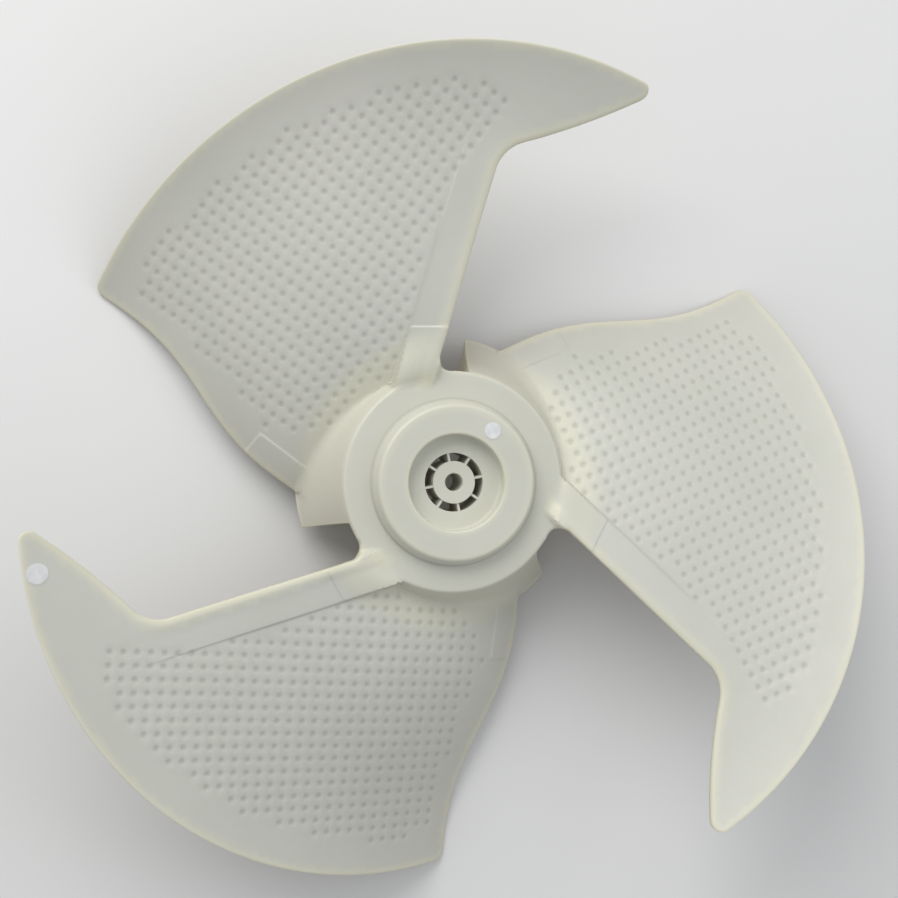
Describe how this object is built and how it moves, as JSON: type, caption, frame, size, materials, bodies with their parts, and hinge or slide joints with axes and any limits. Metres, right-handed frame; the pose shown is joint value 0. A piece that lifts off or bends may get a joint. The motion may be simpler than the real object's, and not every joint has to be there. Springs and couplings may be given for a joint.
{
  "type": "axial fan impeller",
  "caption": "Moulded axial fan impeller with broad forward-swept dimpled blades around a raised hub, a spoked shaft boss and flared skirts behind the blade roots.",
  "frame": {"origin": "on the shaft axis, in the plane of the flat ring around the hub's crown", "axes": "+Z along the shaft axis to the inlet side, away from the motor; +X and +Y in the plane of rotation, with +Y the picture's up"},
  "size_m": [0.6982, 0.6935, 0.1856],
  "materials": {
    "plastic": "semi-gloss natural ivory moulding",
    "label": "white coated paper"
  },
  "bodies": {
    "root": {"impeller": "plastic", "hub_label": "label", "tip_label": "label"}
  },
  "joints": []
}
